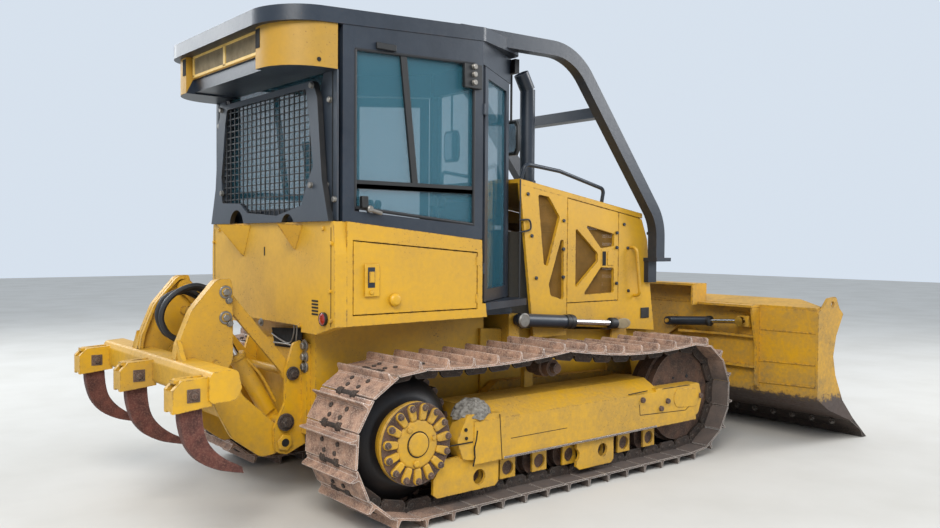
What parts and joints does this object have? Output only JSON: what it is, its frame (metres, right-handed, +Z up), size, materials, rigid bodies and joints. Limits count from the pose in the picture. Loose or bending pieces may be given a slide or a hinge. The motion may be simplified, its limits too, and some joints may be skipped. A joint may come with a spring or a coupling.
{
  "type": "bulldozer",
  "caption": "Small crawler bulldozer with a power angle and tilt blade, closed cab, limb risers, rear screen and a parallelogram ripper with curved shanks",
  "frame": {"origin": "bottom centre of the bounding box, on the ground", "axes": "+X forwards, the way the blade faces, +Y to the driver's left, +Z up"},
  "size_m": [4.985, 2.78, 2.6955],
  "materials": {
    "machine_yellow": "satin enamel, dusty and chipped",
    "charcoal_paint": "satin charcoal enamel",
    "worn_steel": "rust brown, bright worn edges",
    "rust_steel": "rough, rust brown",
    "engine_paint": "dull, oily",
    "rod_chrome": "polished",
    "tinted_glass": "clear with a blue green tint",
    "black_plastic": "matte",
    "seat_cloth": "woven"
  },
  "bodies": {
    "machine": {"track_left": "worn_steel", "track_right": "worn_steel", "sprockets": "rust_steel", "final_drives": "machine_yellow", "track_rollers": "rust_steel", "carrier_rollers": "rust_steel", "idlers": "rust_steel", "track_frames": "machine_yellow", "main_frame": "machine_yellow", "equalizer_bar": "machine_yellow", "engine_block": "engine_paint", "hood_top": "machine_yellow", "hood_corners": "machine_yellow", "hood_cheeks": "machine_yellow", "radiator_guard": "machine_yellow", "front_grille": "charcoal_paint", "exhaust_stack": "charcoal_paint", "rear_tank": "machine_yellow", "fenders": "machine_yellow", "cab_floor": "charcoal_paint", "platforms": "machine_yellow", "cab_frame": "charcoal_paint", "cab_windows": "tinted_glass", "seat": "seat_cloth", "consoles": "black_plastic", "roof": "charcoal_paint", "ac_housing": "machine_yellow", "rear_screen": "charcoal_paint", "limb_risers": "charcoal_paint", "ripper_mount": "machine_yellow", "handrails": "charcoal_paint", "mirrors": "black_plastic", "lights": "black_plastic"},
    "c_frame": {"c_frame": "machine_yellow"},
    "blade_yoke": {"blade_yoke": "machine_yellow"},
    "blade": {"blade": "machine_yellow", "cutting_edge": "rust_steel"},
    "lift_barrels": {"lift_barrels": "charcoal_paint"},
    "lift_rods": {"lift_rods": "rod_chrome"},
    "angle_barrel_left": {"angle_barrel_left": "charcoal_paint"},
    "angle_barrel_right": {"angle_barrel_right": "charcoal_paint"},
    "angle_rod_left": {"angle_rod_left": "rod_chrome"},
    "angle_rod_right": {"angle_rod_right": "rod_chrome"},
    "tilt_barrel": {"tilt_barrel": "charcoal_paint"},
    "tilt_rod": {"tilt_rod": "rod_chrome"},
    "ripper_lower_link": {"ripper_lower_link": "machine_yellow"},
    "ripper_upper_links": {"ripper_upper_links": "machine_yellow"},
    "ripper_beam": {"ripper_beam": "machine_yellow", "ripper_shanks": "rust_steel"},
    "ripper_barrels": {"ripper_barrels": "machine_yellow"},
    "ripper_rods": {"ripper_rods": "rod_chrome"},
    "cab_door_left": {"cab_door_left": "charcoal_paint", "cab_door_glass_left": "tinted_glass"},
    "cab_door_right": {"cab_door_right": "charcoal_paint", "cab_door_glass_right": "tinted_glass"},
    "engine_door_left": {"engine_door_left": "machine_yellow"},
    "engine_door_right": {"engine_door_right": "machine_yellow"},
    "access_door_left": {"access_door_left": "machine_yellow"},
    "access_door_right": {"access_door_right": "machine_yellow"}
  },
  "joints": [
    {"name": "c_frame_lift", "type": "hinge", "parent": "machine", "child": "c_frame", "pos_m": [-0.4075, 0, 0.5], "axis": [0, -1, 0], "range_deg": [-8, 14]},
    {"name": "lift_barrels_swing", "type": "hinge", "parent": "machine", "child": "lift_barrels", "pos_m": [-0.2275, 0, 0.948], "axis": [0, -1, 0], "range_deg": [-9.85, 17.24]},
    {"name": "lift_rods_slide", "type": "slide", "parent": "lift_barrels", "child": "lift_rods", "axis": [0.997, 0, -0.0775], "range_m": [-0.112, 0.064]},
    {"name": "blade_angle", "type": "hinge", "parent": "c_frame", "child": "blade_yoke", "pos_m": [1.6625, 0, 0.48], "axis": [0, 0, 1], "range_deg": [-25, 25]},
    {"name": "angle_barrel_left_swing", "type": "hinge", "parent": "c_frame", "child": "angle_barrel_left", "pos_m": [1.2425, 0.34, 0.64], "axis": [0, 0, 1], "range_deg": [-1.04, 1.04]},
    {"name": "angle_rod_left_slide", "type": "slide", "parent": "angle_barrel_left", "child": "angle_rod_left", "axis": [0.9946, -0.1036, 0], "range_m": [-0.1302, 0.1302]},
    {"name": "angle_barrel_right_swing", "type": "hinge", "parent": "c_frame", "child": "angle_barrel_right", "pos_m": [1.2425, -0.34, 0.64], "axis": [0, 0, 1], "range_deg": [-1.04, 1.04]},
    {"name": "angle_rod_right_slide", "type": "slide", "parent": "angle_barrel_right", "child": "angle_rod_right", "axis": [0.9946, 0.1036, 0], "range_m": [-0.1302, 0.1302]},
    {"name": "blade_tilt", "type": "hinge", "parent": "blade_yoke", "child": "blade", "pos_m": [1.7425, 0, 0.47], "axis": [1, 0, 0], "range_deg": [-6, 6]},
    {"name": "tilt_barrel_swing", "type": "hinge", "parent": "blade_yoke", "child": "tilt_barrel", "pos_m": [1.6775, -0.19, 0.82], "axis": [1, 0, 0], "range_deg": [-8.21, 8.21]},
    {"name": "tilt_rod_slide", "type": "slide", "parent": "tilt_barrel", "child": "tilt_rod", "axis": [0, -0.9981, 0.062], "range_m": [-0.0363, 0.0363]},
    {"name": "ripper_lift", "type": "hinge", "parent": "machine", "child": "ripper_lower_link", "pos_m": [-1.7175, 0, 0.355], "axis": [0, -1, 0], "range_deg": [0, 78]},
    {"name": "ripper_upper_links_swing", "type": "hinge", "parent": "machine", "child": "ripper_upper_links", "pos_m": [-1.6675, 0, 0.72], "axis": [0, -1, 0], "range_deg": [0, 80.34]},
    {"name": "ripper_beam_level", "type": "hinge", "parent": "ripper_lower_link", "child": "ripper_beam", "pos_m": [-2.0975, 0, 0.805], "axis": [0, -1, 0], "range_deg": [-80.34, 0]},
    {"name": "ripper_barrels_swing", "type": "hinge", "parent": "machine", "child": "ripper_barrels", "pos_m": [-1.7095, 0, 0.462], "axis": [0, -1, 0], "range_deg": [0, 76.53]},
    {"name": "ripper_rods_slide", "type": "slide", "parent": "ripper_barrels", "child": "ripper_rods", "axis": [-0.5048, 0, 0.8632], "range_m": [-0.1736, 0]},
    {"name": "cab_door_left_swing", "type": "hinge", "parent": "machine", "child": "cab_door_left", "pos_m": [-0.7095, 0.74, 1.7], "axis": [0, 0, 1], "range_deg": [0, 120]},
    {"name": "engine_door_left_swing", "type": "hinge", "parent": "machine", "child": "engine_door_left", "pos_m": [0.2425, 0.473, 1.35], "axis": [0, 0, -1], "range_deg": [-100, 0]},
    {"name": "access_door_left_swing", "type": "hinge", "parent": "machine", "child": "access_door_left", "pos_m": [-0.7635, 0.748, 1.215], "axis": [0, 0, -1], "range_deg": [0, 90]},
    {"name": "cab_door_right_swing", "type": "hinge", "parent": "machine", "child": "cab_door_right", "pos_m": [-0.7095, -0.74, 1.7], "axis": [0, 0, -1], "range_deg": [0, 120]},
    {"name": "engine_door_right_swing", "type": "hinge", "parent": "machine", "child": "engine_door_right", "pos_m": [0.2425, -0.473, 1.35], "axis": [0, 0, 1], "range_deg": [-100, 0]},
    {"name": "access_door_right_swing", "type": "hinge", "parent": "machine", "child": "access_door_right", "pos_m": [-0.7635, -0.748, 1.215], "axis": [0, 0, 1], "range_deg": [0, 90]}
  ],
  "couplings": [
    {"joint": "lift_barrels_swing", "follows": "c_frame_lift", "ratio": 1.1959},
    {"joint": "lift_rods_slide", "follows": "c_frame_lift", "m_per_rad": -0.445},
    {"joint": "angle_barrel_left_swing", "follows": "blade_angle", "ratio": 0.0402},
    {"joint": "angle_rod_left_slide", "follows": "blade_angle", "m_per_rad": -0.2896},
    {"joint": "angle_barrel_right_swing", "follows": "blade_angle", "ratio": 0.0402},
    {"joint": "angle_rod_right_slide", "follows": "blade_angle", "m_per_rad": 0.2896},
    {"joint": "tilt_barrel_swing", "follows": "blade_tilt", "ratio": 1.3283},
    {"joint": "tilt_rod_slide", "follows": "blade_tilt", "m_per_rad": 0.3367},
    {"joint": "ripper_upper_links_swing", "follows": "ripper_lift", "ratio": 1},
    {"joint": "ripper_beam_level", "follows": "ripper_lift", "ratio": -1},
    {"joint": "ripper_barrels_swing", "follows": "ripper_lift", "ratio": 0.9526},
    {"joint": "ripper_rods_slide", "follows": "ripper_lift", "m_per_rad": -0.1238}
  ]
}
